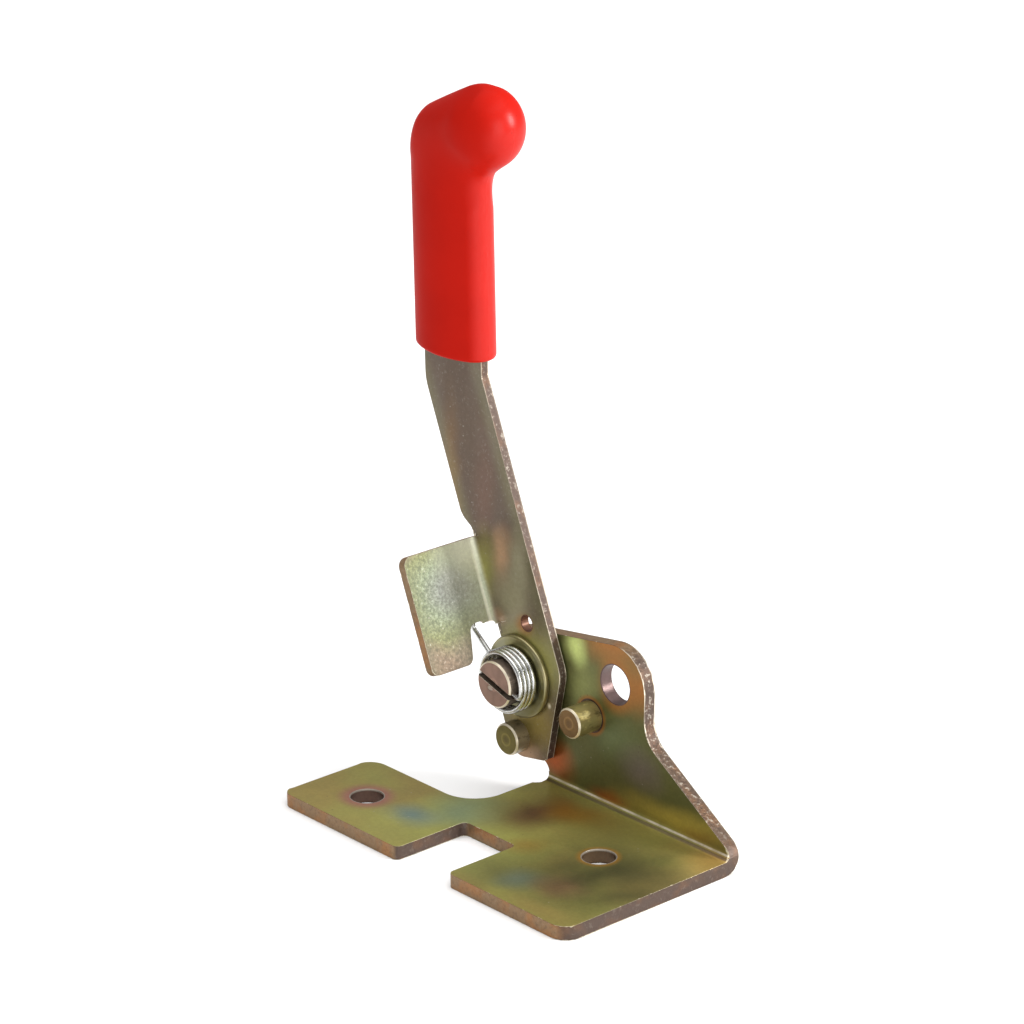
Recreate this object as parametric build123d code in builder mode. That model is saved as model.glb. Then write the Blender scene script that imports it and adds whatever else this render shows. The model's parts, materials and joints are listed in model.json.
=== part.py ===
"""Cab door handle: a sprung, cranked hand lever with a moulded grip, pivoting on a folded steel bracket.

Millimetres, +Z up. The origin is the centre of the left base hole on the underside of the bracket.
+X runs along the fold of the bracket, +Y from the front edge of the base plate to the upright.
"""
import os
from math import acos, asin, atan2, cos, degrees, hypot, radians, sin, tan

from build123d import *

os.makedirs("parts", exist_ok=True)

# Sheet stock
bracket_t = 3.0
lever_t = 2.0
fold_r = 1.8
tab_bend_r = 1.5

# Base plate, from its left end and its front edge
left_hole_from_end = 13.7
left_hole_from_front = 11.35
base_hole_r = 3.5
right_hole_dx = 52.7
right_hole_dy = 15.55
plate_l = 85.5
plate_d = 47.7
tongue_d = 24.2
neck_from_end = 31.4
neck_r = 8.0
notch_from_end = 36.3
notch_w = 15.4
notch_d = 18.2
notch_r = 1.3
tongue_front_r = 2.5
tongue_back_r = 4.0
plate_corner_r = 4.0

# Upright
pivot_x = 12.8
pivot_z = 25.1
nose_r = 9.6
upright_hole_x = 38.3
upright_hole_z = 30.3
upright_hole_r = 4.2
upright_top_r = 8.4
flank_foot_z = 4.3
flank_foot_r = 5.0
flank_top_z = 20.85
flank_top_r = 7.5
nose_foot_x = 12.8
nose_foot_r = 1.5
relief_r = 2.9
relief_x = 16.1
relief_inset = 1.2

# Pivot pin, turned, riveted at the back of the upright
pivot_head_r = 5.0
pivot_head_l = 6.3
pivot_journal_r = 4.0
pivot_tenon_r = 3.2
pivot_rivet_r = 5.2
rivet_h = 1.1
slot_w = 1.3
slot_d = 3.0
slot_angle = -17.7
pin_chamfer = 0.35

# Running clearances of the lever
bore_fit = 0.05
front_gap = 0.1
back_gap = 0.4

# Washer
washer_r = 8.9
washer_t = 1.2
washer_edge_r = 0.5

# Return spring
wire_d = 1.1
coil_r = 6.37
coil_pitch = 1.12
coil_turns = 3
spring_gap = 0.05
leg_angle = 141.8
leg_offset = -2.1
leg_bend_r = 1.2
leg_knee_r = 1.6
leg_out = 6.9
leg_seat_along = 19.0
hook_bend_r = 0.8
hook_end_r = 2.6

# Lever
bar_tilt = 22.3
top_lean = 1.56
bar_left = 5.37
bar_right = 12.2
kink_along = 62.8
top_w = 17.35
lever_top_along = 42.0
kink_outer_r = 10.0
kink_inner_r = 3.0
hub_r = 9.1
heel_r = 6.0
tail_lean = 11.5
tail_end_dx = 0.25
tail_end_dz = -13.6
tail_end_r = 4.5
tail_tip_dx = 7.8
tail_tip_dz = -16.6
tail_tip_r = 0.8
small_hole_n = 6.19
small_hole_along = 10.46
small_hole_r = 1.7
gap_right = 3.1
gap_r = 1.5
hub_notch_r = 2.0
lever_corner_r = 3.0

# Tab, bent forward from the left edge of the bar
tab_top = 30.05
tab_root = 12.9
tab_foot = 5.0
tab_reach = 19.3
tab_back_top = 6.8
tab_back_foot = 8.5
tab_outer_r = 2.0
tab_foot_r = 1.8
tab_root_r = 1.7
ease_start = 35.0
ease_end = 32.0
ease_depth = 2.17
ease_start_r = 4.0
ease_end_r = 1.5

# Link pin on the tail
link_dx = -0.75
link_dz = -13.7
link_r = 3.45
link_l = 3.5
link_tenon_r = 2.2
link_sink = 0.6

# Stop pin on the upright
stop_x = 31.3
stop_z = 21.3
stop_r = 3.25
stop_l = 6.2
stop_tenon_r = 2.4
stop_rivet_r = 3.8

# Grip, measured from the kink across and along the upper end of the lever
grip_start = 5.7
grip_half_w = 10.15
grip_half_d = 5.9
grip_end_r = 4.5
grip_rim_r = 0.9
foot_slant = 3.0
ball_across = 9.8
ball_along = 53.8
ball_r = 8.63
shoulder_along = 52.6
shoulder_r = 4.15
ramp_sink = 0.3
ramp_edge_r = 3.0
crown_share = 0.97
socket_fit = 0.05

# Places that follow from the sizes above
left_end = -left_hole_from_end
front_edge = -left_hole_from_front
right_end = left_end + plate_l
back_face = front_edge + plate_d
front_face = back_face - bracket_t
neck_x = left_end + neck_from_end
notch_left = left_end + notch_from_end
notch_right = notch_left + notch_w
lever_back = front_face - back_gap
lever_front = lever_back - lever_t
washer_back = lever_front - front_gap
washer_front = washer_back - washer_t
pin_face = washer_front - pivot_head_l
tilt = radians(bar_tilt)
upright_top = upright_hole_z + upright_top_r
fold_mid_y = back_face - (bracket_t + fold_r) + (fold_r + bracket_t / 2) * sin(radians(45))
fold_mid_z = (bracket_t + fold_r) - (fold_r + bracket_t / 2) * sin(radians(45))
relief_y = front_face - relief_inset
relief_z = bracket_t + relief_inset
relief_top = relief_z + relief_r


def facing(x, y, z, turn=0.0):
    """A plane that faces the front, its x axis turned anticlockwise by turn degrees."""
    angle = radians(turn)
    return Plane(origin=(x, y, z), x_dir=(cos(angle), 0, sin(angle)), z_dir=(0, -1, 0))


def lines_meet(point_a, angle_a, point_b, angle_b):
    """Where two lines meet, each given by a point and a direction in degrees."""
    ax, ay = cos(radians(angle_a)), sin(radians(angle_a))
    bx, by = cos(radians(angle_b)), sin(radians(angle_b))
    dx, dy = point_b[0] - point_a[0], point_b[1] - point_a[1]
    along = (dx * by - dy * bx) / (ax * by - ay * bx)
    return point_a[0] + along * ax, point_a[1] + along * ay


def corner(sketch, x, y):
    """The corner of a sketch that lies nearest to a point of it."""
    return sketch.vertices().sort_by_distance((x, y, 0))[0]


# Bracket: the folded section, trimmed to the outlines of its base and of its upright
with BuildPart() as bracket:
    with BuildSketch(Plane.YZ.offset(left_end)) as section:
        with BuildLine():
            Polyline(
                (front_edge, 0),
                (back_face, 0),
                (back_face, upright_top),
                (front_face, upright_top),
                (front_face, bracket_t),
                (front_edge, bracket_t),
                close=True,
            )
        make_face()
        fillet(corner(section, back_face, 0), fold_r + bracket_t)
        fillet(corner(section, front_face, bracket_t), fold_r)
    extrude(amount=plate_l)

    with BuildSketch() as base_outline:
        with BuildLine():
            Polyline(
                (left_end, front_edge),
                (notch_left, front_edge),
                (notch_left, front_edge + notch_d),
                (notch_right, front_edge + notch_d),
                (notch_right, front_edge),
                (right_end, front_edge),
                (right_end, back_face),
                (left_end, back_face),
                (left_end, front_face),
                (neck_x, front_face),
                (neck_x, front_edge + tongue_d),
                (left_end, front_edge + tongue_d),
                close=True,
            )
        make_face()
        fillet(corner(base_outline, left_end, front_edge), tongue_front_r)
        fillet(corner(base_outline, left_end, front_edge + tongue_d), tongue_back_r)
        fillet(corner(base_outline, neck_x, front_edge + tongue_d), neck_r)
        fillet(corner(base_outline, right_end, front_edge), plate_corner_r)
        for x in (notch_left, notch_right):
            for y in (front_edge, front_edge + notch_d):
                fillet(corner(base_outline, x, y), notch_r)
    extrude(amount=upright_top, mode=Mode.INTERSECT)

    flank_top_x = upright_hole_x + upright_top_r
    with BuildSketch(facing(0, front_edge, 0)) as upright_outline:
        with Locations((pivot_x, pivot_z)):
            Circle(nose_r)
        with Locations((upright_hole_x, upright_hole_z)):
            Circle(upright_top_r)
        with Locations((nose_foot_x, relief_top + nose_foot_r)):
            Circle(nose_foot_r)
        with Locations((flank_top_x, flank_top_z)):
            Rectangle(upright_top_r, flank_top_z - relief_top, align=(Align.MAX, Align.MAX))
        make_hull()
        with BuildLine():
            Polyline(
                (left_end, 0),
                (right_end, 0),
                (right_end, flank_foot_z),
                (flank_top_x, flank_top_z),
                (relief_x, flank_top_z),
                (relief_x, bracket_t),
                (left_end, bracket_t),
                close=True,
            )
        make_face()
        fillet(corner(upright_outline, right_end, flank_foot_z), flank_foot_r)
        fillet(corner(upright_outline, flank_top_x, flank_top_z), flank_top_r)
    extrude(amount=-plate_d, mode=Mode.INTERSECT)

    # The round relief at the left end of the fold runs through base, fold and upright
    relief_planes = (
        Plane(origin=(relief_x, relief_y, 0), x_dir=(1, 0, 0), z_dir=(0, 0, 1)),
        Plane(origin=(relief_x, fold_mid_y, fold_mid_z), x_dir=(1, 0, 0), z_dir=(0, -1, 1)),
        Plane(origin=(relief_x, back_face, relief_z), x_dir=(1, 0, 0), z_dir=(0, -1, 0)),
    )
    for relief_plane in relief_planes:
        with BuildSketch(relief_plane):
            Circle(relief_r)
            Rectangle(relief_x - left_end, 2 * relief_r, align=(Align.MAX, Align.CENTER))
        extrude(amount=bracket_t, both=True, mode=Mode.SUBTRACT)

    # Holes: two for mounting screws, one for a cross bolt, two for the riveted pins
    with Locations((0, 0, bracket_t), (right_hole_dx, right_hole_dy, bracket_t)):
        Hole(base_hole_r, depth=bracket_t)
    with Locations(facing(upright_hole_x, front_face, upright_hole_z)):
        Hole(upright_hole_r, depth=bracket_t)
    with Locations(facing(pivot_x, front_face, pivot_z)):
        Hole(pivot_tenon_r, depth=bracket_t)
    with Locations(facing(stop_x, front_face, stop_z)):
        Hole(stop_tenon_r, depth=bracket_t)

bracket.part.label = "bracket"
export_step(bracket.part, "parts/bracket.step")

# Lever: bar, hub and tail in one sheet, with the tab bent forward from the bar's left edge
bar_angle = 90.0
top_angle = 90.0 - (bar_tilt - top_lean)
bar_mid = (bar_right - bar_left) / 2
kink = (bar_mid, kink_along)
top_dir = (cos(radians(top_angle)), sin(radians(top_angle)))
top_side = (top_dir[1], -top_dir[0])


def on_top(across, along):
    """A place on the upper end of the lever, from the kink, in the directions across and along the bar."""
    return (
        kink[0] + top_side[0] * across + top_dir[0] * along,
        kink[1] + top_side[1] * across + top_dir[1] * along,
    )


def in_bar(dx, dz):
    """A place given from the pivot along +X and +Z, in the directions across and along the bar."""
    return dx * cos(tilt) + dz * sin(tilt), dz * cos(tilt) - dx * sin(tilt)


kink_left = lines_meet((-bar_left, 0), bar_angle, on_top(-top_w / 2, 0), top_angle)
kink_right = lines_meet((bar_right, 0), bar_angle, on_top(top_w / 2, 0), top_angle)
top_left = on_top(-top_w / 2, lever_top_along)
top_right = on_top(top_w / 2, lever_top_along)
lever_plane = facing(pivot_x, lever_back, pivot_z, bar_tilt)
tail_end = in_bar(tail_end_dx, tail_end_dz)
tail_tip = in_bar(tail_tip_dx, tail_tip_dz)
tail_angle = 90.0 - tail_lean - bar_tilt
heel = lines_meet((bar_right, 0), bar_angle, tail_tip, tail_angle)
bend_line = -bar_left + lever_t + tab_bend_r

with BuildPart() as lever:
    with BuildSketch(lever_plane) as lever_outline:
        Circle(hub_r)
        with Locations(tail_end):
            Circle(tail_end_r)
        with Locations((tail_tip[0] - tail_tip_r, tail_tip[1] + tail_tip_r)):
            Circle(tail_tip_r)
        make_hull()
        with BuildLine():
            Polyline(
                tail_tip,
                heel,
                kink_right,
                top_right,
                top_left,
                kink_left,
                (-bar_left, ease_start),
                (-bar_left + ease_depth, ease_end),
                (-bar_left + ease_depth, tab_top),
                (bend_line, tab_top),
                (bend_line, tab_root),
                (-gap_right, tab_root),
                (-gap_right, 0),
                close=True,
            )
        make_face()
        fillet(corner(lever_outline, *heel), heel_r)
        fillet(corner(lever_outline, *kink_left), kink_outer_r)
        fillet(corner(lever_outline, *kink_right), kink_inner_r)
        fillet(corner(lever_outline, *top_left), lever_corner_r)
        fillet(corner(lever_outline, *top_right), lever_corner_r)
        fillet(corner(lever_outline, -bar_left, ease_start), ease_start_r)
        fillet(corner(lever_outline, -bar_left + ease_depth, ease_end), ease_end_r)
        fillet(corner(lever_outline, -gap_right, (hub_r**2 - gap_right**2) ** 0.5), hub_notch_r)
        Circle(pivot_journal_r + bore_fit, mode=Mode.SUBTRACT)
        with Locations(in_bar(link_dx, link_dz)):
            Circle(link_tenon_r, mode=Mode.SUBTRACT)
        with Locations((small_hole_n, small_hole_along)):
            Circle(small_hole_r, mode=Mode.SUBTRACT)
    extrude(amount=lever_t)

    # The tab: its bend at the edge of the bar, then the plate with its own outline
    bend_plane = Plane(
        origin=lever_plane.from_local_coords((0, tab_root - gap_r, 0)),
        x_dir=lever_plane.x_dir,
        z_dir=lever_plane.y_dir,
    )
    bend_depth = lever_t + tab_bend_r
    with BuildSketch(bend_plane) as bend_section:
        with BuildLine():
            Polyline(
                (bend_line, 0),
                (-bar_left, 0),
                (-bar_left, -bend_depth - lever_t),
                (-bar_left + lever_t, -bend_depth - lever_t),
                (-bar_left + lever_t, -lever_t),
                (bend_line, -lever_t),
                close=True,
            )
        make_face()
        fillet(corner(bend_section, -bar_left, 0), bend_depth)
        fillet(corner(bend_section, -bar_left + lever_t, -lever_t), tab_bend_r)
    extrude(amount=tab_top - tab_root + gap_r)
    with BuildSketch(lever_plane) as gap_outline:
        with Locations((-gap_right, tab_root)):
            Rectangle(hub_r, tab_root, align=(Align.MAX, Align.MAX))
        fillet(corner(gap_outline, -gap_right, tab_root), gap_r)
        Circle(hub_r, mode=Mode.SUBTRACT)
    extrude(amount=bend_depth + lever_t, mode=Mode.SUBTRACT)

    tab_plane = Plane(
        origin=lever_plane.from_local_coords((-bar_left, 0, lever_t)),
        x_dir=(0, 1, 0),
        z_dir=lever_plane.x_dir,
    )
    with BuildSketch(tab_plane) as tab_outline:
        with BuildLine():
            Polyline(
                (-tab_bend_r, tab_top),
                (-tab_reach, tab_top),
                (-tab_reach, tab_foot),
                (-tab_back_foot, tab_foot),
                (-tab_back_top, tab_root),
                (-tab_bend_r, tab_root),
                close=True,
            )
        make_face()
        fillet(corner(tab_outline, -tab_reach, tab_top), tab_outer_r)
        fillet(corner(tab_outline, -tab_reach, tab_foot), tab_foot_r)
        fillet(corner(tab_outline, -tab_back_foot, tab_foot), tab_foot_r)
        fillet(corner(tab_outline, -tab_back_top, tab_root), tab_root_r)
    extrude(amount=lever_t)

    # The link pin's hole is countersunk at the back, for its flush riveted end
    link_mouth = lever_plane.from_local_coords((*in_bar(link_dx, link_dz), 0))
    chamfer(lever.edges().filter_by(GeomType.CIRCLE).sort_by_distance(link_mouth)[0], link_sink)
lever.part.label = "lever"
export_step(lever.part, "parts/lever.step")


def turned_section(x, z, profile):
    """Half the section of a piece turned about an axis along Y; profile lists radius and y, front to back."""
    with BuildSketch(Plane(origin=(x, 0, z), x_dir=(1, 0, 0), z_dir=(0, 0, 1))) as half:
        with BuildLine():
            Polyline((0, profile[0][1]), *profile, (0, profile[-1][1]), close=True)
        make_face()
    return half.sketch


def axis_at(x, z):
    """An axis along Y through a place in the XZ plane."""
    return Axis((x, 0, z), (0, 1, 0))


def rivet_section(x, z, radius):
    """Half the section of the low dome that a pin's riveted end forms on the back of the upright."""
    sphere_r = (radius**2 + rivet_h**2) / (2 * rivet_h)
    half_way = back_face + rivet_h - sphere_r + (sphere_r**2 - radius**2 / 4) ** 0.5
    with BuildSketch(Plane(origin=(x, 0, z), x_dir=(1, 0, 0), z_dir=(0, 0, 1))) as half:
        with BuildLine():
            Polyline((0, back_face + rivet_h), (0, back_face), (radius, back_face))
            ThreePointArc((radius, back_face), (radius / 2, half_way), (0, back_face + rivet_h))
        make_face()
    return half.sketch


# Pivot pin: slotted head, shoulder for the washer, journal for the lever, tenon riveted in the upright
with BuildPart() as pivot_pin:
    pivot_profile = (
        (pivot_head_r - pin_chamfer, pin_face),
        (pivot_head_r, pin_face + pin_chamfer),
        (pivot_head_r, washer_front),
        (pivot_journal_r, washer_front),
        (pivot_journal_r, front_face),
        (pivot_tenon_r, front_face),
        (pivot_tenon_r, back_face),
    )
    revolve(turned_section(pivot_x, pivot_z, pivot_profile), axis=axis_at(pivot_x, pivot_z))
    revolve(rivet_section(pivot_x, pivot_z, pivot_rivet_r), axis=axis_at(pivot_x, pivot_z))
    with BuildSketch(facing(pivot_x, pin_face, pivot_z, slot_angle)):
        Rectangle(3 * pivot_head_r, slot_w)
    extrude(amount=-slot_d, mode=Mode.SUBTRACT)
pivot_pin.part.label = "pivot_pin"
export_step(pivot_pin.part, "parts/pivot_pin.step")

# Washer between the pin's shoulder and the lever
with BuildPart() as washer:
    with BuildSketch(facing(pivot_x, washer_back, pivot_z)):
        Circle(washer_r)
        Circle(pivot_journal_r + bore_fit, mode=Mode.SUBTRACT)
    extrude(amount=washer_t)
    rims = washer.edges().filter_by(GeomType.CIRCLE).sort_by(SortBy.RADIUS)[-2:]
    fillet(rims, washer_edge_r)
washer.part.label = "washer"
export_step(washer.part, "parts/washer.step")

# Stop pin for the tail, riveted in the upright
with BuildPart() as stop_pin:
    stop_profile = (
        (stop_r - pin_chamfer, front_face - stop_l),
        (stop_r, front_face - stop_l + pin_chamfer),
        (stop_r, front_face),
        (stop_tenon_r, front_face),
        (stop_tenon_r, back_face),
    )
    revolve(turned_section(stop_x, stop_z, stop_profile), axis=axis_at(stop_x, stop_z))
    revolve(rivet_section(stop_x, stop_z, stop_rivet_r), axis=axis_at(stop_x, stop_z))
stop_pin.part.label = "stop_pin"
export_step(stop_pin.part, "parts/stop_pin.step")

# Link pin on the tail, its riveted end flush with the back of the lever
with BuildPart() as link_pin:
    link_x, link_z = pivot_x + link_dx, pivot_z + link_dz
    link_profile = (
        (link_r - pin_chamfer, lever_front - link_l),
        (link_r, lever_front - link_l + pin_chamfer),
        (link_r, lever_front),
        (link_tenon_r, lever_front),
        (link_tenon_r, lever_back - link_sink),
        (link_tenon_r + link_sink, lever_back),
    )
    revolve(turned_section(link_x, link_z, link_profile), axis=axis_at(link_x, link_z))
link_pin.part.label = "link_pin"
export_step(link_pin.part, "parts/link_pin.step")

# Return spring: hook in the slot, coil round the pin's head, leg out to the far side of the tab
wire_r = wire_d / 2
hook_reach = ((coil_r - hook_bend_r) ** 2 - hook_bend_r**2) ** 0.5
coil_start = slot_angle + degrees(atan2(hook_bend_r, hook_reach))
leg_normal = leg_angle - 90
coil_end = leg_normal + degrees(acos((leg_offset + leg_bend_r) / (coil_r + leg_bend_r)))
coil_l = coil_pitch * (coil_turns + (coil_end - coil_start) / 360)
coil_back = washer_front - spring_gap - wire_r
coil_front = coil_back - coil_l


def polar(radius, angle):
    """A place in the XZ plane, from the pivot."""
    return radius * cos(radians(angle)), radius * sin(radians(angle))


hook_mid = polar(hook_reach, slot_angle)
hook_centre = polar(coil_r - hook_bend_r, coil_start)
hook_half = polar(hook_bend_r, (slot_angle - 90 + coil_start) / 2)
leg_centre = polar(coil_r + leg_bend_r, coil_end)
leg_half = polar(leg_bend_r, (coil_end + 180 + leg_normal + 180) / 2)
leg_radius = polar(leg_bend_r, leg_normal)
leg_start = (leg_centre[0] - leg_radius[0], leg_centre[1] - leg_radius[1])
leg_step = polar(leg_out, leg_angle)
leg_knee = (leg_start[0] + leg_step[0], leg_start[1] + leg_step[1])
seat_n, seat_a = -bar_left - wire_r - spring_gap, leg_seat_along
leg_seat = (seat_n * cos(tilt) - seat_a * sin(tilt), seat_n * sin(tilt) + seat_a * cos(tilt))
coil_plane = Plane(
    origin=(pivot_x, coil_front, pivot_z),
    x_dir=(cos(radians(coil_start)), 0, sin(radians(coil_start))),
    z_dir=(0, 1, 0),
)
coil_path = coil_plane.location * Helix(coil_pitch, coil_l, coil_r, lefthand=True, mode=Mode.PRIVATE)
with BuildPart() as return_spring:
    with BuildSketch(Plane(coil_path @ 0, z_dir=coil_path % 0)):
        Circle(wire_r)
    sweep(path=coil_path, is_frenet=True)

    with BuildLine(facing(pivot_x, coil_front, pivot_z)) as hook_path:
        Line(polar(hook_end_r, slot_angle), hook_mid)
        ThreePointArc(
            hook_mid,
            (hook_centre[0] + hook_half[0], hook_centre[1] + hook_half[1]),
            polar(coil_r, coil_start),
        )
    with BuildSketch(Plane(hook_path.line @ 0, z_dir=hook_path.line % 0)):
        Circle(wire_r)
    sweep(path=hook_path.line)

    with BuildLine(facing(pivot_x, coil_back, pivot_z)) as leg_path:
        ThreePointArc(
            polar(coil_r, coil_end),
            (leg_centre[0] + leg_half[0], leg_centre[1] + leg_half[1]),
            leg_start,
        )
        FilletPolyline(leg_start, leg_knee, leg_seat, radius=leg_knee_r)
    with BuildSketch(Plane(leg_path.line @ 0, z_dir=leg_path.line % 0)):
        Circle(wire_r)
    sweep(path=leg_path.line)
    with Locations(coil_path @ 0, coil_path @ 1):
        Sphere(wire_r)
return_spring.part.label = "return_spring"
export_step(return_spring.part, "parts/return_spring.step")

# Grip: an oval moulding with a ball nose, pushed over the upper end of the lever
grip_origin = lever_plane.from_local_coords((*kink, lever_t / 2))
top_along = lever_plane.from_local_coords((*top_dir, 0)) - lever_plane.origin
top_across = lever_plane.from_local_coords((*top_side, 0)) - lever_plane.origin
grip_profile_plane = Plane(origin=grip_origin, x_dir=top_across, z_dir=(0, -1, 0))
grip_foot_plane = Plane(
    origin=grip_origin + top_along * grip_start,
    x_dir=top_across * cos(radians(foot_slant)) - top_along * sin(radians(foot_slant)),
    z_dir=top_along * cos(radians(foot_slant)) + top_across * sin(radians(foot_slant)),
)
shoulder_across = shoulder_r - grip_half_w
end_x = grip_half_w - grip_end_r
side_r = (grip_half_w**2 - 2 * grip_half_w * grip_end_r + grip_half_d**2) / (2 * (grip_half_d - grip_end_r))
side_turn = degrees(atan2(end_x, side_r - grip_half_d))
nose_angle = degrees(atan2(ball_along - shoulder_along, ball_across - shoulder_across))
nose_l = hypot(ball_across - shoulder_across, ball_along - shoulder_along)
ramp_angle = nose_angle + degrees(asin((ball_r - shoulder_r) / nose_l))
ramp_slope = tan(radians(ramp_angle))
ramp_high = ball_along + ball_r / cos(radians(ramp_angle)) - ball_r / 2 * ramp_slope
ramp_low = ramp_high - (ball_across + ball_r / 2 + grip_half_w) * ramp_slope
crown_r = min(ramp_edge_r, crown_share * grip_end_r * tan(radians(45 - ramp_angle / 2)))
nose_plane = Plane(
    origin=grip_profile_plane.from_local_coords((shoulder_across, shoulder_along, 0)),
    x_dir=top_across * cos(radians(nose_angle)) + top_along * sin(radians(nose_angle)),
    z_dir=(0, -1, 0),
)

with BuildPart() as grip:
    with BuildSketch(grip_foot_plane):
        with BuildLine():
            for way in (1, -1):
                CenterArc((0, way * (grip_half_d - side_r)), side_r, way * 90 - side_turn, 2 * side_turn)
                CenterArc((way * end_x, 0), grip_end_r, side_turn - way * 90, 180 - 2 * side_turn)
        make_face()
    extrude(amount=ball_along + ball_r, dir=top_along)
    with BuildSketch(grip_profile_plane.offset(-ball_r)):
        with BuildLine():
            Polyline(
                (-ball_r - grip_half_w, ramp_low - ramp_sink),
                (ball_across - ball_r / 2, ramp_high - ramp_sink),
                (ball_across + ball_r, ball_along),
                (ball_across + ball_r, 0),
                (-ball_r - grip_half_w, 0),
                close=True,
            )
        make_face()
    extrude(amount=2 * ball_r, mode=Mode.INTERSECT)
    crown_along = shoulder_along - shoulder_r
    crown = grip.edges().filter_by(lambda edge: (edge.center() - grip_origin).dot(top_along) > crown_along)
    fillet(crown, crown_r)
    fillet(grip.faces().sort_by(Axis(grip_foot_plane.origin, top_along))[0].edges(), grip_rim_r)

    # The ball, with the cone that runs down from it to the shoulder
    with BuildSketch(nose_plane):
        Circle(shoulder_r)
        with Locations((nose_l, 0)):
            Circle(ball_r)
        make_hull()
        Rectangle(4 * nose_l, 2 * ball_r, align=(Align.CENTER, Align.MAX), mode=Mode.SUBTRACT)
    revolve(axis=Axis(nose_plane.origin, nose_plane.x_dir))

    # The pocket for the end of the lever
    with BuildSketch(Plane(origin=grip_origin, x_dir=top_across, z_dir=top_along)):
        Rectangle(top_w + 2 * socket_fit, lever_t + 2 * socket_fit)
    extrude(amount=lever_top_along + socket_fit, mode=Mode.SUBTRACT)
grip.part.label = "grip"
export_step(grip.part, "parts/grip.step")
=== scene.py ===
"""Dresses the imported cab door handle: rounded sheet edges, zinc film, bright spring, red grip, studio."""
import json
import math

import bpy
import numpy as np
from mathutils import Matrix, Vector

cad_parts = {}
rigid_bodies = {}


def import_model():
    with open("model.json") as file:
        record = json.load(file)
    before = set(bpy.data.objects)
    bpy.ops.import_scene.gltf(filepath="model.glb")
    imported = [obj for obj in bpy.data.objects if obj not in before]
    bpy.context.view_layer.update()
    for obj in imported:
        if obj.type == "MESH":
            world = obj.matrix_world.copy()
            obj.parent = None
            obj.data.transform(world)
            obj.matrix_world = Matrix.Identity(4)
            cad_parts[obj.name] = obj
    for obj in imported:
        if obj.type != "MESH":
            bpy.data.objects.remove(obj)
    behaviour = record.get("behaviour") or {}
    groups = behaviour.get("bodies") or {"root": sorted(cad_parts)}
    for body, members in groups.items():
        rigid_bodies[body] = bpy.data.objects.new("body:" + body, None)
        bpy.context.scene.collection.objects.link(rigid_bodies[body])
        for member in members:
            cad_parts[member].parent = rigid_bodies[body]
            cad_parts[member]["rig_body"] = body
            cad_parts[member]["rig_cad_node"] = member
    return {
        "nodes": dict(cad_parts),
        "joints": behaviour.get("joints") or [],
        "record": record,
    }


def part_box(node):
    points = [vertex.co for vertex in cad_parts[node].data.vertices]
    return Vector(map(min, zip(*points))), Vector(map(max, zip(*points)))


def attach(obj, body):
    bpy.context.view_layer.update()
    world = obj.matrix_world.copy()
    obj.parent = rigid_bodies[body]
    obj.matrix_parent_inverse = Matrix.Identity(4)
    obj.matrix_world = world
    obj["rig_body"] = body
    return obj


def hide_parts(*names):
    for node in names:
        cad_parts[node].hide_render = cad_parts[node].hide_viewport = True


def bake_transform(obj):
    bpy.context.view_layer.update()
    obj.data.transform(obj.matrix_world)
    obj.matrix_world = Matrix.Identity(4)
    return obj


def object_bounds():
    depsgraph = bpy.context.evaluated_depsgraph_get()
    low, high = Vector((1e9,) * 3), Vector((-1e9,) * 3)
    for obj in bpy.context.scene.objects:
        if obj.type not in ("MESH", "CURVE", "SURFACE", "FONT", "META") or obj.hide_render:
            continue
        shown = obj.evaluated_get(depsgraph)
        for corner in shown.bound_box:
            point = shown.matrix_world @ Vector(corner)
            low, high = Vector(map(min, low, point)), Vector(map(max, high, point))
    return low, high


bl_info = {
    "name": "Cab Door Handle",
    "version": (1, 0, 0),
    "blender": (4, 5, 0),
    "location": "View3D > Sidebar > Handle",
    "description": "Builds the looks of a sprung hand lever on a folded zinc-plated bracket",
    "category": "Object",
}

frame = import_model()

MM = 0.001
CAD_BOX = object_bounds()
HINGE = Vector(frame["joints"][0]["pos_m"])
MOUNTS = {mount["name"]: Vector(mount["pos_m"]) for mount in frame["record"]["mounts"]}
STILL, SWINGING = "root", "lever"
BRACKET_SHEET, BRACKET_BEND = 3 * MM, 1.8 * MM
LEVER_SHEET, LEVER_BEND = 2 * MM, 1.5 * MM

# Soft patches of film, some painted lighter or darker as light and shade. Each row is a spot, its place and
# its reach in millimetres, a colour and its share.
BASE_PATCHES = (
    ("tongue", (-6, 6, 3), (12, 9, 5), "olive", 0.8),
    ("neck", (18.5, 9.8, 3), (12, 12, 6), "sage", 0.95),
    ("tongue's front", (12.8, 0.5, 3), (10, 7.5, 5), "teal", 1),
    ("tongue's tip", (-9, -6, 3), (9, 6, 5), "straw", 0.7),
    ("before the notch", (28.5, 19.5, 3), (11, 14, 5), "umber", 1),
    ("beside the fold", (35, 25, 3), (13, 7.5, 5), "amber", 0.95),
    ("body's left", (44, -5, 3), (14, 13, 5), "moss", 0.75),
    ("by the middle", (50.2, -2.6, 3), (8, 8, 5), "teal", 0.8),
    ("body's middle", (57.6, 2.2, 3), (8.5, 8.5, 5), "mauve", 0.85),
    ("at the notch", (38.5, 9, 3), (6, 6, 5), "amber", 0.5),
    ("whole body", (60, 9.5, 3), (29, 29, 5), "loam", 1),
    ("front corner", (63, -9.5, 3), (13, 4, 5), "straw", 0.7),
    # Painted light where the base beside the fold reflects the dark upright.
    ("right end", (70, 30, 3), (9, 13, 5), "painted_light_gold", 0.8),
    ("right corner", (70, 31, 3), (9, 9, 5), "amber", 0.6),
)
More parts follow.
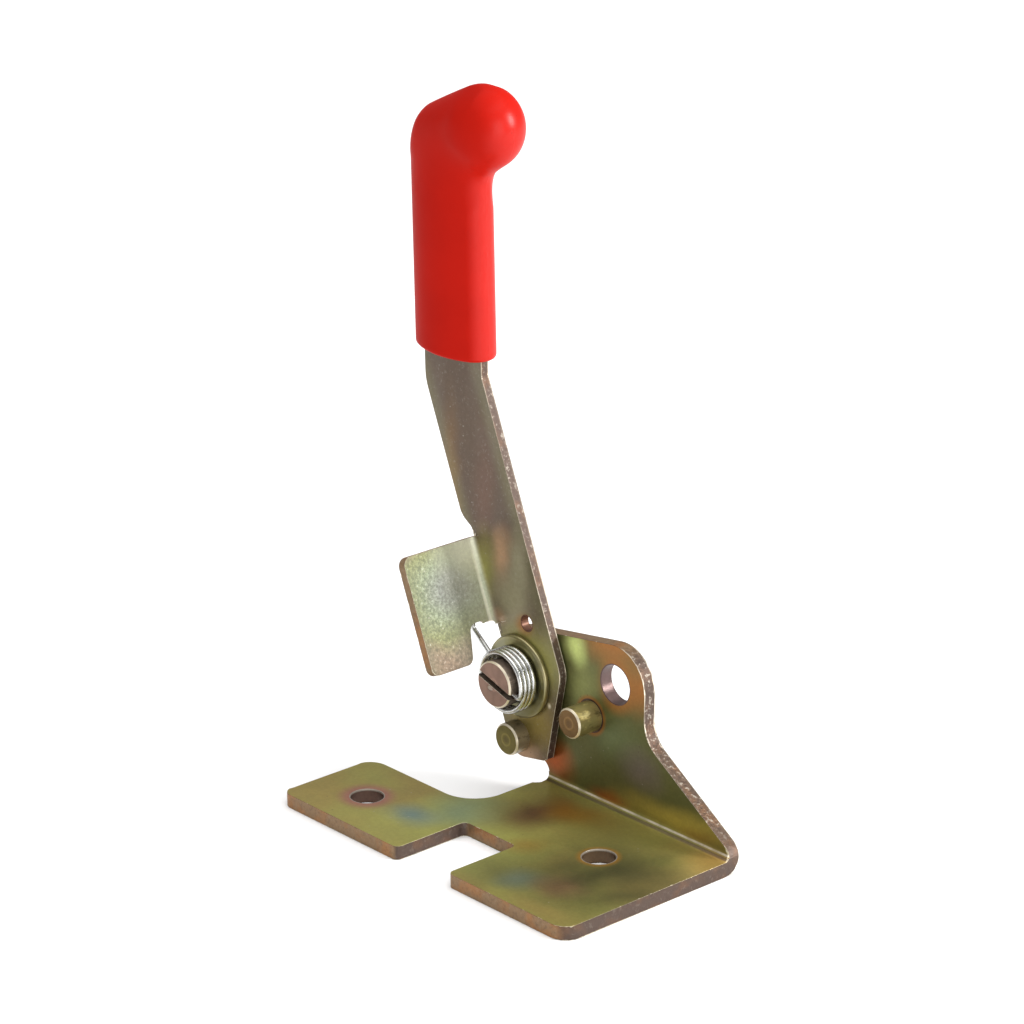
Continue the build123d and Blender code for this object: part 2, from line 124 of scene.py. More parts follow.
# The upright's film is moss, painted darker than the base's olive as shade; shaded teal is a darker teal
# painted the same way, and fir is painted lighter where the lever's shadow falls.
SHADED_UPRIGHT_PATCHES = (
    ("middle", (38.5, 33.3, 19), (11, 9, 7.5), "shaded_teal", 0.9),
    ("under the glow", (27, 33.3, 28), (9, 9, 7.5), "painted_light_fir", 1),
    ("flank", (45.5, 33.3, 14.3), (8, 9, 6.5), "plum", 1),
    ("along the top", (36, 33.3, 39), (16, 9, 7.5), "rust", 1),
    ("beside the hole", (45, 33.3, 31.5), (6, 9, 9), "rust", 0.95),
    ("lower left", (21, 33.3, 7.5), (8, 6, 7), "ember", 0.9),
    ("by the fold", (36.5, 33.3, 4.6), (9, 9, 3.6), "ember", 0.7),
    ("foot", (57, 33.3, 6), (25, 9, 5.5), "honey", 0.95),
    ("along the fold", (62, 33.3, 4.2), (9, 9, 2.6), "rust", 0.35),
    ("beside the lever", (25.6, 33.3, 34.4), (4.8, 9, 4.4), "lime", 0.95),
)
LEVER_PATCHES = (
    ("down the middle", (1, 31, 62), (5, 9, 20), "rose", 0.13),
    ("above the hub", (7, 31, 49.6), (5.5, 9, 9), "clay", 1),
    ("along the left", (-8.5, 31, 62), (4, 9, 26), "amber", 0.25),
    # Leaf and sea are painted lighter where the hub and lower bar reflect the dark tab.
    ("left side", (1, 31, 46), (6.5, 9, 12), "painted_light_leaf", 0.7),
    ("hub's top", (10.4, 31, 42), (10, 9, 9), "painted_light_sea", 1),
    ("hub", (16, 31, 30), (14, 9, 11.5), "painted_light_leaf", 1),
    ("gap's corner", (6.5, 31, 36.5), (3, 9, 3), "clay", 0.4),
    ("tail", (16, 31, 16), (12, 9, 11), "honey", 0.5),
    ("tail's end", (14, 31, 7.5), (7, 9, 4.5), "clay", 0.8),
    ("small hole", (14.56, 31, 37.13), (3.9, 9, 3.9), "rust", 0.95),
    ("bar's right", (12, 31, 48), (4.5, 9, 12), "painted_light_sea", 1),
)


def colour(name, description, default):
    """A colour that a user can change."""
    return bpy.props.FloatVectorProperty(
        name=name, description=description, default=default, subtype="COLOR", size=3, min=0.0, max=1.0
    )


def length(name, description, default_mm):
    """A size that a user can change, given in millimetres and kept in metres."""
    return bpy.props.FloatProperty(
        name=name, description=description, default=default_mm * MM, unit="LENGTH", precision=5
    )


def angle(name, description, default_deg):
    """An angle that a user can change, given in degrees."""
    return bpy.props.FloatProperty(
        name=name, description=description, default=math.radians(default_deg), subtype="ANGLE"
    )


def amount(name, description, default, **kind):
    """A plain number that a user can change, never under 0."""
    return bpy.props.FloatProperty(name=name, description=description, default=default, min=0.0, **kind)


def rounds(name, description, default):
    """A number of rounds that a user can change."""
    return bpy.props.IntProperty(name=name, description=description, default=default, min=0)


class HandleSizes(bpy.types.PropertyGroup):
    """Sizes of the sheet edges and of the spring."""

    bracket_edge: length("Bracket edge", "Rounding of the 3 mm sheet's edges", 0.4)
    lever_edge: length("Lever edge", "Rounding of the 2 mm sheet's edges", 0.3)
    pin_edge: length("Pin edge", "Rounding of the turned pins' edges", 0.07)
    wire: length("Spring wire", "Diameter of the spring's wire", 1.1)
    coil: length("Coil radius", "Radius of the coil at the middle of its wire", 6.37)
    coil_pitch: length("Coil pitch", "Distance from one turn of the coil to the next", 1.12)
    hook_bend: length("Hook bend", "Radius of the bend into the pin's slot", 0.8)
    hook_end: length("Hook end", "Distance of the wire's front end from the pin's axis", 2.6)
    leg_bend: length("Leg bend", "Radius of the bend where the leg leaves the coil", 1.2)
    leg_knee: length("Leg knee", "Radius of the bend before the wire's far end", 1.6)
    leg_out: length("Leg length", "Straight length of the leg up to its knee", 6.9)
    leg_offset: length("Leg offset", "How far the leg's line passes from the pin's axis", -2.1)
    seat_across: length("Seat across", "The wire's far end, left of the pin's axis across the bar", 5.97)
    seat_along: length("Seat along", "The wire's far end, above the pin's axis along the bar", 19.0)
    slot_turn: angle("Slot angle", "Direction of the pin's slot", -17.7)
    leg_turn: angle("Leg angle", "Direction of the spring's leg", 141.8)
    bar_turn: angle("Bar tilt", "Lean of the lever's bar to the left", 22.3)
    tab_edge: length("Tab face", "The tab's outer face, left of the pin's axis across the bar", 5.37)


class GripShape(bpy.types.PropertyGroup):
    """Sizes of the moulded grip, across and along the lever's upper end from its kink."""

    voxel: length("Detail", "Mesh size of the moulded grip", 0.32)
    smoothing: rounds("Smoothing", "Rounds of smoothing over the whole grip", 4)
    kink_across: length("Kink across", "The lever's kink from the pin's axis, across the bar", 3.415)
    kink_along: length("Kink along", "The lever's kink from the pin's axis, along the bar", 62.8)
    lean: angle("Lean", "Lean of the lever's upper end to the left", 1.56)
    start: length("Foot", "Where the grip begins above the kink, at its middle", 5.7)
    slant: angle("Foot slant", "Slant of the grip's foot down to the right", 3.0)
    half_width: length("Half width", "Half the oval's width", 10.15)
    half_depth: length("Half depth", "Half the oval's depth", 5.9)
    end: length("End radius", "Radius of the oval's narrow ends", 4.5)
    rim: length("Rim", "Rounding of the grip's foot", 0.9)
    ball_across: length("Ball across", "The ball's centre across the lever's end", 10.4)
    ball_along: length("Ball along", "The ball's centre along the lever's end", 53.8)
    ball: length("Ball radius", "Radius of the ball", 8.6)
    shoulder_across: length("Shoulder across", "Where the round cone from the ball ends, across", -2.6)
    shoulder_along: length("Shoulder along", "Where the round cone from the ball ends, along", 51.6)
    shoulder: length("Shoulder radius", "Radius of the round cone's small end", 5.0)
    nose_flat: amount("Nose flatness", "How much flatter than round the ball is, front to back", 1.12)
    crown: length("Crown radius", "Rounding of the oval's top", 6.5)
    crown_sink: length("Crown sink", "How far the oval's top lies under the ball's", 2.6)
    crown_slope: angle("Crown slope", "Rise of the oval's top towards the ball", 20.8)
    blend: length("Blend", "Reach of the soft blend between the ball and the oval", 5.0)
    melting: rounds("Melting", "Rounds of smoothing where the ball meets the body", 600)
    pocket_width: length("Pocket width", "Half the width of the pocket for the lever", 8.73)
    pocket_depth: length("Pocket depth", "Half the depth of the pocket for the lever", 1.05)
    pocket_end: length("Pocket end", "Where the pocket ends above the kink", 42.05)


class ZincColours(bpy.types.PropertyGroup):
    """The plating's colours, and the bare ones beside them."""

    olive: colour("Olive", "The base's usual film", (0.37, 0.365, 0.095))
    straw: colour("Straw", "The base's yellow film", (0.35, 0.27, 0.08))
    # Painted light: gold is lighter to make up for the dark upright reflected beside the fold.
    painted_light_gold: colour("Gold", "Bright yellow film where the base meets the upright", (0.62, 0.45, 0.15))
    loam: colour("Loam", "Dark olive film on the base's body", (0.075, 0.073, 0.028))
    teal: colour("Teal", "Green-blue film on the base", (0.18, 0.25, 0.21))
    sage: colour("Sage", "Grey-green film on the base", (0.25, 0.31, 0.16))
    rose: colour("Rose", "Pink film round the left hole", (0.37, 0.148, 0.12))
    mauve: colour("Mauve", "Purple-brown film on the base", (0.46, 0.175, 0.125))
    amber: colour("Amber", "Orange-brown film beside the fold", (0.37, 0.18, 0.028))
    umber: colour("Umber", "Dark brown film before the notch", (0.165, 0.092, 0.04))
    # Moss and shaded teal are painted darker than the base's colours, as shade on the upright.
    moss: colour("Moss", "The upright's usual film", (0.135, 0.135, 0.046))
    shaded_teal: colour("Deep teal", "Green-blue film on the upright", (0.17, 0.20, 0.09))
    # Painted light: fir is lighter to make up for the lever's shadow on the upright.
    painted_light_fir: colour("Fir", "Green film under the bright patch", (0.27, 0.29, 0.10))
    plum: colour("Plum", "Purple film on the upright", (0.185, 0.155, 0.125))
    lime: colour("Lime", "Bright film beside the lever", (0.66, 0.76, 0.25))
    rust: colour("Rust", "Orange-red film along the upright's top", (0.38, 0.15, 0.035))
    ember: colour("Ember", "Deep orange film by the fold", (0.45, 0.08, 0.003))
    honey: colour("Honey", "Yellow film at the foot of the flank", (0.56, 0.43, 0.09))
    ash: colour("Ash", "The lever's grey-brown film", (0.112, 0.076, 0.051))
    clay: colour("Clay", "Orange-pink film on the lever", (0.56, 0.34, 0.21))
    fern: colour("Fern", "Olive film at the sides of the lever", (0.18, 0.16, 0.085))
    # Leaf and sea are the film's colours, painted lighter where the hub and lower bar reflect the dark tab.
    painted_light_leaf: colour("Leaf", "Green-yellow film on the lever's hub", (0.43, 0.41, 0.13))
    painted_light_sea: colour("Sea", "Grey-green film above the hub", (0.37, 0.33, 0.22))
    # The cut edges facing right are painted darker than those facing the front, to offset the strong light
    # from the right.
    brown: colour("Brown", "Cut edges that face the front", (0.25, 0.155, 0.078))
    right_edge_shaded: colour("Pink", "Cut edges that face right", (0.088, 0.058, 0.044))
    # Dark grain of the cut edges, also painted shade inside the holes, in the fold and along edges that
    # don't face right.
    shadow: colour("Shadow", "Dark grain of the cut edges and holes", (0.075, 0.050, 0.036))
    # Rim serves as painted highlight: along sheet edges that face right, in the bracket's fold, on a mark
    # on the lever and round the pins' chamfers.
    rim: colour("Rim", "Bright rubbed metal along the edges", (0.90, 0.80, 0.62))
    silver: colour("Silver", "Bright torn metal", (0.42, 0.375, 0.31))
    crystal: colour("Crystal", "Pale crystals on the formed tab", (0.195, 0.205, 0.18))
    wire: colour("Wire", "Bright spring wire", (0.66, 0.66, 0.64))
    red: colour("Red", "The moulded grip", (0.48, 0.012, 0.0065))


class StudioSetup(bpy.types.PropertyGroup):
    """Camera, floor and lights."""

    camera_azimuth: angle("Azimuth", "Camera's turn round the handle", 47.85)
    camera_elevation: angle("Elevation", "Camera's height angle", 20.35)
    camera_place: bpy.props.FloatVectorProperty(
        name="Camera place", description="Where the camera stands", default=(0.5366, -0.44565, 0.3236),
        unit="LENGTH", size=3,
    )
    focal: amount("Focal length", "Lens on a 36 mm sensor, in millimetres", 131.15, unit="CAMERA")
    floor: colour("Floor", "The pale floor", (0.97, 0.97, 0.97))
    sky: amount("Sky", "Strength of the even light", 0.29)
    key: amount("Key", "Power of the main light", 9.0, subtype="POWER")
    fill: amount("Fill", "Power of the fill light", 3.6, subtype="POWER")
    top: amount("Top", "Strength of the broad light overhead", 2.6)


class Value:
    """A number that changes over a surface. Sums and products of it add Math nodes to its finish."""

    def __init__(self, finish, socket):
        self.finish = finish
        self.socket = socket

    def maths(self, operation, *terms):
        made = self.finish.node("Math", {"operation": operation}, dict(enumerate(terms)))
        return Value(self.finish, made.outputs[0])

    def __add__(self, other):
        return self.maths("ADD", self, other)

    __radd__ = __add__

    def __sub__(self, other):
        return self.maths("SUBTRACT", self, other)

    def __rsub__(self, other):
        return self.maths("SUBTRACT", other, self)

    def __mul__(self, other):
        return self.maths("MULTIPLY", self, other)

    __rmul__ = __mul__

    def __truediv__(self, other):
        return self.maths("DIVIDE", self, other)

    def __neg__(self):
        return self.maths("MULTIPLY", self, -1.0)

    def __abs__(self):
        return self.maths("ABSOLUTE", self)

    def most(self, other):
        return self.maths("MAXIMUM", self, other)

    def root(self):
        return self.maths("SQRT", self)

    def step(self, low, high):
        """0 where the value is under low, 1 over high, and smooth between. low may be the larger."""
        sockets = {0: self, 1: low, 2: high, 3: 0.0, 4: 1.0}
        made = self.finish.node("MapRange", {"interpolation_type": "SMOOTHSTEP"}, sockets)
        return Value(self.finish, made.outputs[0])


class Finish:
    """A material while it is being built from nodes."""

    def __init__(self, name):
        self.material = bpy.data.materials.new(name)
        self.material.use_nodes = True
        self.tree = self.material.node_tree
        self.tree.nodes.clear()
        source = self.node("TexCoord")
        self.coordinates = source.outputs["Object"]
        place = self.node("SeparateXYZ", sockets={0: self.coordinates})
        self.x, self.y, self.z = (Value(self, out) for out in place.outputs)
        facing = self.node("SeparateXYZ", sockets={0: source.outputs["Normal"]})
        self.nx, self.ny, self.nz = (Value(self, out) for out in facing.outputs)

    def node(self, kind, settings=None, sockets=None):
        """A shader node of that kind, its settings made first and its sockets set or linked after."""
        made = self.tree.nodes.new("ShaderNode" + kind)
        for key, value in (settings or {}).items():
            if key == "stops":
                ramp = made.color_ramp.elements
                while len(ramp) < len(value):
                    ramp.new(1.0)
                for element, (place, shade) in zip(ramp, value):
                    element.position = place
                    element.color = (*shade, 1.0)
            else:
                setattr(made, key, value)
        for key, value in (sockets or {}).items():
            if isinstance(value, Value):
                value = value.socket
            if isinstance(value, bpy.types.NodeSocket):
                self.tree.links.new(value, made.inputs[key])
            elif hasattr(value, "__len__") and made.inputs[key].type == "RGBA":
                made.inputs[key].default_value = (*value, 1.0)
            else:
                made.inputs[key].default_value = value
        return made

    def noise(self, size, detail=3.0, roughness=0.5, stretch=(1.0,) * 3, shift=(0.0,) * 3, warp=0.0):
        """Noise with features of about that size, in metres. Its values lie round a half."""
        spot = self.node("Mapping", {}, {0: self.coordinates, 1: shift, 3: stretch})
        sockets = {"Vector": spot.outputs[0], "Scale": 1 / size, "Detail": detail, "Roughness": roughness}
        return Value(self, self.node("TexNoise", {}, {**sockets, "Distortion": warp}).outputs["Fac"])

    def cells(self, size, jitter=1.0):
        """Distance to the nearest of scattered points, 0 on a point."""
        sockets = {"Vector": self.coordinates, "Scale": 1 / size, "Randomness": jitter}
        return Value(self, self.node("TexVoronoi", {}, sockets).outputs["Distance"])

    def vectors(self, operation, sockets, out=0):
        """A sum or product of vectors, or the length of one."""
        return self.node("VectorMath", {"operation": operation}, sockets).outputs[out]

    def near(self, place, reach, wander=None):
        """1 at a place and 0 beyond its reach, which is a length for each axis, both in millimetres."""
        centre, sizes = ([part * MM for part in numbers] for numbers in (place, reach))
        spot = self.coordinates
        if wander is not None:
            spot = self.vectors("ADD", {0: spot, 1: wander})
        away = self.vectors("SUBTRACT", {0: spot, 1: centre})
        shares = self.vectors("DIVIDE", {0: away, 1: sizes})
        return Value(self, self.vectors("LENGTH", {0: shares}, 1)).step(1.0, 0.0)

    def wander(self, size, reach):
        """A vector that drifts over the surface, to make the outline of a patch uneven."""
        made = self.node("TexNoise", {}, {"Vector": self.coordinates, "Scale": 1 / size, "Detail": 2.0})
        centred = self.vectors("SUBTRACT", {0: made.outputs["Color"], 1: (0.5,) * 3})
        return self.vectors("SCALE", {0: centred, 3: reach})

    def from_axis(self, centre, second="z"):
        """The distance from an axis through a place, along Y, or along Z where second is y."""
        dx, dz = self.x - centre.x, getattr(self, second) - getattr(centre, second)
        return (dx * dx + dz * dz).root()

    def ramp(self, value, stops):
        """A colour for each value."""
        return self.node("ValToRGB", {"stops": stops}, {0: value}).outputs[0]

    def mix(self, share, first, second, blend="MIX"):
        """first where share is 0 and second where it is 1."""
        sockets = {0: share, 6: first, 7: second}
        return self.node("Mix", {"data_type": "RGBA", "blend_type": blend}, sockets).outputs[2]

    def patchwork(self, film, patches, zinc, wander):
        """The film under soft patches, each node labelled with its colour and spot."""
        for spot, place, reach, shade, share in patches:
            film = self.mix(self.near(place, reach, wander) * share, film, getattr(zinc, shade))
            film.node.label = f"{shade}, {spot}"
        return film

    def relief(self, *layers):
        """The surface normal over bumps, each a height from 0 to 1 and its depth in metres."""
        normal = None
        for height, depth in layers:
            sockets = {"Height": height, "Distance": depth, "Strength": 1.0}
            if normal is not None:
                sockets["Normal"] = normal
            normal = self.node("Bump", {}, sockets).outputs[0]
        return normal

    def surface(self, **sockets):
        """The shader at the end, with its sockets named as words joined by a low line."""
        named = {key.replace("_", " "): value for key, value in sockets.items()}
        shader = self.node("BsdfPrincipled", {}, named)
        self.node("OutputMaterial", {}, {"Surface": shader.outputs[0]})
        return self.material


def lit_up(shade, times):
    """A colour so many times as bright."""
    return tuple(min(1.0, times * part) for part in shade)


def sheet_steel(finish, film, edge, zinc, torn, metal, rough):
    """Plated sheet: film on its faces, duller cut edges, and a thin line of painted highlight between the
    two.

    edge is 1 on the cut edges, and torn is 1 where they are rough and bright. The line is a painted
    highlight, brightest where an edge faces right, weaker where it faces up, and thin on the base; where an
    edge doesn't face right it is painted shade with a few bright nicks, and noise for rubbed wear breaks
    the highlight up.
    """
    haze, dust = (0.70, 0.66, 0.58), (0.55, 0.53, 0.50)
    cloudy = finish.noise(0.006, 4.0, 0.55, shift=(1, 4, 2))
    film = finish.mix(cloudy.step(0.35, 0.75) * 0.18, film, haze, "SOFT_LIGHT")
    fine = finish.noise(0.00075, 2.0, 0.6, shift=(6, 1, 7))
    film = finish.mix(fine.step(0.62, 0.40) * 0.16, film, dust, "MULTIPLY")
    specks = finish.cells(0.0021).step(0.11, 0.05) * finish.noise(0.009, 1.0).step(0.55, 0.62)
    film = finish.mix(specks * 0.5, film, zinc.silver)
    pits = finish.cells(0.0037, jitter=0.9).step(0.06, 0.03)
    film = finish.mix(pits * 0.45, film, zinc.shadow)

    to_right = finish.nx.step(0.05, 0.75)
    mottle = finish.noise(0.0009, 3.0, 0.65, shift=(7, 5, 1))
    streaks = finish.noise(0.0048, 2.0, 0.5, shift=(2, 6, 4))
    # Cut edges that face right are painted darker than those facing the front, to offset the light from the
    # right.
    cut = finish.mix(to_right, zinc.brown, zinc.right_edge_shaded)
    cut = finish.mix(streaks.step(0.46, 0.66) * (1.0 - 0.75 * to_right) * 0.5, cut, zinc.rust)
    cut = finish.mix(mottle.step(0.50, 0.36) * (0.28 + 0.5 * torn), cut, zinc.shadow)
    cut = finish.mix(mottle.step(0.56, 0.66) * (0.10 + 0.6 * torn), cut, zinc.silver)
    shown = finish.mix(edge.step(0.34, 0.7), film, cut)

    lying = finish.z.step(6 * MM, 4 * MM)
    line = edge.step(0.004, 0.03) * (edge + 0.25 * lying).step(0.995, 0.93)
    lit = finish.nx.step(0.03, 0.35)
    raised = finish.nz.step(0.2, 0.55)
    worn = finish.noise(0.0014, 3.0, 0.65, shift=(3, 1, 2)).step(0.38, 0.52)
    nicks = finish.noise(0.0017, 2.0, 0.5, shift=(9, 2, 5)).step(0.60, 0.66)
    # Painted shade along the line where an edge doesn't face right, painted highlight where it does.
    shown = finish.mix(line * (1.0 - lit) * 0.5, shown, zinc.shadow)
    bright = line * (lit * (0.7 + 0.3 * worn) * (1.0 - 0.65 * raised) + (1.0 - lit) * nicks * 0.8)
    shown = finish.mix(bright, shown, zinc.rim)

    orange_peel = finish.noise(0.0012, 3.0, 0.55)
    tooth = finish.noise(0.00028, 2.0, 0.6)
    rough_cut = mottle * edge.step(0.5, 0.9) * (0.35 + 0.65 * torn)
    normal = finish.relief((orange_peel, 0.00003), (tooth, 0.000012), (rough_cut, 0.0003))
    roughness = rough + 0.12 * cloudy + 0.12 * edge.step(0.5, 0.9) - 0.08 * line
    metallic = metal * (1.0 - 0.9 * bright)
    return finish.surface(Base_Color=shown, Metallic=metallic, Roughness=roughness, Normal=normal)


def bent_edge(u, v):
    """A mask of a bent sheet's cut edges, 0 where the surface faces through the sheet.

    u and v are each a distance past the bend's centre, never under 0, and the normal's part that way.
    """
    (du, nu), (dv, nv) = u, v
    size = (du * du + dv * dv).root().most(1e-6)
    return 1.0 - abs((nu * du + nv * dv) / size)


def bracket_finish(zinc):
    """The bracket's film: olive, teal on the base; moss painted dark as shade, rust on the upright; painted
    light in the fold.
    """
    finish = Finish("zinc_sheet")
    low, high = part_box("bracket")
    bend_y = high.y - BRACKET_SHEET - BRACKET_BEND
    bend_z = low.z + BRACKET_SHEET + BRACKET_BEND
    past_y, past_z = (finish.y - bend_y).most(0.0), (bend_z - finish.z).most(0.0)
    edge = bent_edge((past_y, finish.ny), (past_z, -finish.nz))
    drift = finish.wander(0.018, 0.009)
    clouds = finish.noise(0.03, 2.0, 0.45, shift=(0.3, 0.1, 0.7), warp=0.4)
    base = finish.mix(clouds.step(0.36, 0.66), zinc.olive, zinc.straw)
    base = finish.patchwork(base, BASE_PATCHES, zinc, drift)
    # The upright starts from moss, painted darker as shade, under its own patches.
    upright = finish.patchwork(zinc.moss, SHADED_UPRIGHT_PATCHES, zinc, drift)
    film = finish.mix(finish.z.step(3.1 * MM, 5 * MM), base, upright)

    hole_r = 3.5 * MM
    in_holes = 0.0
    for name, reach, shade, share in (
        ("base_hole_left", 3.6 * MM, zinc.rose, 0.9),
        ("base_hole_right", 1.6 * MM, zinc.amber, 0.8),
    ):
        away = finish.from_axis(MOUNTS[name], "y")
        film = finish.mix(away.step(hole_r + reach, hole_r) * share, film, shade)
        in_holes = away.step(hole_r + 0.25 * MM, hole_r + 0.05 * MM) + in_holes
    bolt, bolt_r, bolt_wall_shade = MOUNTS["upright_hole"], 4.2 * MM, (0.12, 0.075, 0.07)
    from_bolt = finish.from_axis(bolt)
    bolt_hole = from_bolt.step(bolt_r + 0.3 * MM, bolt_r + 0.1 * MM)
    halo = from_bolt.step(bolt_r + 3.4 * MM, bolt_r)
    film = finish.mix(halo * 0.8 * finish.x.step(bolt.x - 7 * MM, bolt.x), film, zinc.rust)
    stop, stop_r = sum(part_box("stop_pin"), Vector()) / 2, 3.25 * MM
    away = finish.from_axis(stop)
    ring = away.step(stop_r + 1.5 * MM, stop_r + 0.4 * MM)
    film = finish.mix(ring * 0.85, film, zinc.rust)
    film = finish.mix(away.step(stop_r + 0.55 * MM, stop_r + 0.25 * MM), film, zinc.shadow)

    # Painted shade and painted highlight in the fold: a dark line near its lower end and a bright line
    # across its middle.
    in_fold = (past_y * past_y + past_z * past_z).root()
    concave = abs(in_fold - BRACKET_BEND).step(0.35 * MM, 0.15 * MM) * past_y.step(0.0, 0.1 * MM)
    down = past_z / BRACKET_BEND
    highlight_breakup = finish.noise(0.004, 2.0, 0.5, shift=(5, 5, 1))
    film = finish.mix(abs(down - 0.80).step(0.17, 0.06) * concave * 0.75, film, zinc.shadow)
    light = abs(down - 0.47).step(0.15, 0.05) * (0.45 + 0.5 * highlight_breakup.step(0.35, 0.6))
    film = finish.mix(light * concave, film, zinc.rim)

    torn = finish.z.step(5 * MM, 9 * MM) * finish.nx.step(0.1, 0.7)
    bright_rim = finish.z.step(2.45 * MM, 2.8 * MM)
    # Painted shade inside the holes and on the bolt hole's wall, with a bright band at the top of the round
    # holes' walls.
    film = finish.mix(in_holes * 0.85, film, zinc.shadow)
    film = finish.mix(in_holes * bright_rim * 0.9, film, zinc.silver)
    film = finish.mix(bolt_hole, film, bolt_wall_shade)
    edge = edge * (1.0 - in_holes.most(bolt_hole))
    return sheet_steel(finish, film, edge, zinc, torn, 0.6, 0.30)


def lever_finish(zinc, sizes):
    """The lever's film: ash and clay down the bar, olive at its sides and hub, pale crystals on the tab;
    painted light on hub and tab.
    """
    finish = Finish("zinc_lever")
    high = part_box("lever")[1]
    c, s = math.cos(sizes.bar_turn), math.sin(sizes.bar_turn)
    x, z = finish.x - HINGE.x, finish.z - HINGE.z
    across, across_normal = x * c + z * s, finish.nx * c + finish.nz * s
    along = z * c - x * s
    bend_n = LEVER_SHEET + LEVER_BEND - sizes.tab_edge
    bend_y = high.y - LEVER_SHEET - LEVER_BEND
    on_tab = finish.y.step(bend_y + 0.3 * MM, bend_y)
    foot, top = 9.5 * MM, 31 * MM
    beside_tab = along.step(foot - 0.5 * MM, foot) * along.step(top + 0.6 * MM, top)
    past_n = (bend_n - across).most(0.0) * beside_tab.most(on_tab)
    past_y = (finish.y - bend_y).most(0.0)
    edge = bent_edge((past_n, -across_normal), (past_y, finish.ny))
    tab = finish.y.step(bend_y + 1.45 * MM, bend_y + 0.8 * MM) * across.step(bend_n + 1.5 * MM, bend_n)
    drift = finish.wander(0.014, 0.006)
    sides = abs(across - 3.4 * MM).step(4.5 * MM, 8.5 * MM)
    streak = finish.noise(0.012, 2.0, 0.5, stretch=(1, 1, 0.35), shift=(0.9, 0.4, 0.2))
    bar = finish.mix(sides * 0.7, zinc.ash, zinc.fern)
    bar = finish.mix(streak.step(0.42, 0.68) * 0.4, bar, zinc.plum)
    film = finish.patchwork(bar, LEVER_PATCHES, zinc, drift)
    crisp = finish.noise(0.0007, 3.0, 0.75, shift=(4, 2, 9))
    film = finish.mix(crisp.step(0.56, 0.70) * 0.20, film, zinc.silver)
    # A painted highlight of a small mark on the lever's right edge.
    nick_highlight, nick_highlight_reach = (21.4, 31.0, 21.0), (0.8, 2.0, 0.9)
    film = finish.mix(finish.near(nick_highlight, nick_highlight_reach), film, zinc.rim)

    middle, middle_reach = (2.9, 21.5, 44.0), (10.5, 16.5, 15.0)
    mound = finish.near(middle, middle_reach, drift)
    upper = along.step(20 * MM, 29 * MM)
    to_fold = finish.y.step(bend_y - 13 * MM, bend_y - 1 * MM)
    earthy, olive, grey_green = (0.22, 0.155, 0.10), (0.19, 0.20, 0.08), (0.19, 0.22, 0.13)
    pit, glint, dark_end = (0.30, 0.30, 0.26), (0.50, 0.52, 0.46), (0.10, 0.11, 0.05)
    painted_light_cream, bend_highlight_colour = (0.78, 0.79, 0.60), (0.88, 0.88, 0.70)
    pale = finish.ramp(mound, [(0.0, earthy), (0.22, olive), (0.55, grey_green), (0.85, zinc.crystal)])
    pale = finish.mix(crisp.step(0.62, 0.36) * 0.72, pale, pit, "MULTIPLY")
    pale = finish.mix(crisp.step(0.60, 0.72) * 0.5, pale, glint)
    # Painted light: the tab is lighter towards its fold, more so higher up, to even out the light across
    # it.
    pale = finish.mix(to_fold * (0.3 + 0.45 * upper), pale, painted_light_cream)
    pale = finish.mix(finish.y.step(16 * MM, 9 * MM) * 0.5, pale, dark_end)
    # A painted highlight along the tab's bend, broken by the streak noise.
    bend_highlight = abs(finish.y - bend_y - 0.1 * MM).step(0.6 * MM, 0.1 * MM)
    pale = finish.mix(bend_highlight * (0.4 + 0.6 * streak.step(0.4, 0.6)) * 0.8, pale, bend_highlight_colour)
    film = finish.mix(tab, film, pale)
    # The small hole's wall is painted dark as shade.
    hole_r, hole_wall_shade = 1.7 * MM, (0.13, 0.055, 0.03)
    in_hole = finish.from_axis(MOUNTS["lever_hole"]).step(hole_r + 0.25 * MM, hole_r + 0.1 * MM)
    film = finish.mix(in_hole, film, hole_wall_shade)
    edge = edge * (1.0 - in_hole)
    torn = finish.nx.step(0.2, 0.8) * 0.7
    return sheet_steel(finish, film, edge, zinc, torn, 0.5 - 0.2 * tab, 0.33 + 0.1 * tab)


def turned_finish(name, zinc, centre, face, side, marks):
    """A turned pin: faint rings on its end, mottled film along its side, a painted highlight on its
    chamfer.

    marks are bright spots on the end, each a place and a reach in millimetres.
    """
    finish = Finish(name)
    away = finish.from_axis(centre)
    flat = abs(finish.ny).step(0.72, 0.96)
    cone = abs(finish.ny).step(0.15, 0.5) * abs(finish.ny).step(0.97, 0.85)
    mottle = finish.noise(0.0018, 4.0, 0.65, stretch=(1, 0.45, 1), shift=(5, 2, 4))
    dark_side, light_side = lit_up(side, 0.4), lit_up(side, 2.2)
    on_side = finish.ramp(mottle, [(0.32, dark_side), (0.46, side), (0.58, side), (0.70, light_side)])
    cloud = finish.noise(0.0035, 2.0, 0.5, shift=(1, 6, 2))
    on_face = finish.mix(cloud.step(0.35, 0.65), face, lit_up(face, 0.78))
    turning = finish.noise(0.0004, 1.0, 0.5)
    ring_r = 1.25 * MM
    ring = abs(away - ring_r).step(0.30 * MM, 0.08 * MM)
    on_face = finish.mix(ring * 0.35, on_face, lit_up(face, 2.0))
    on_face = finish.mix(away.step(0.9 * MM, 0.4 * MM) * 0.3, on_face, zinc.shadow)
    shown = finish.mix(flat, on_side, on_face)
    # A painted highlight all round the chamfer.
    shown = finish.mix(cone * 0.85, shown, zinc.rim)
    layers = [(finish.noise(0.0006, 3.0, 0.6), 0.00003), (ring * flat, 0.00002), (turning, 0.000008)]
    for place, reach in marks:
        mark = finish.near(place, reach).step(0.05, 0.5)
        shown = finish.mix(mark * 0.55, shown, zinc.silver)
        layers.append((1.0 - mark, 0.00012))
    return finish.surface(
        Base_Color=shown, Metallic=0.65, Roughness=0.30 + 0.14 * mottle, Normal=finish.relief(*layers)
    )


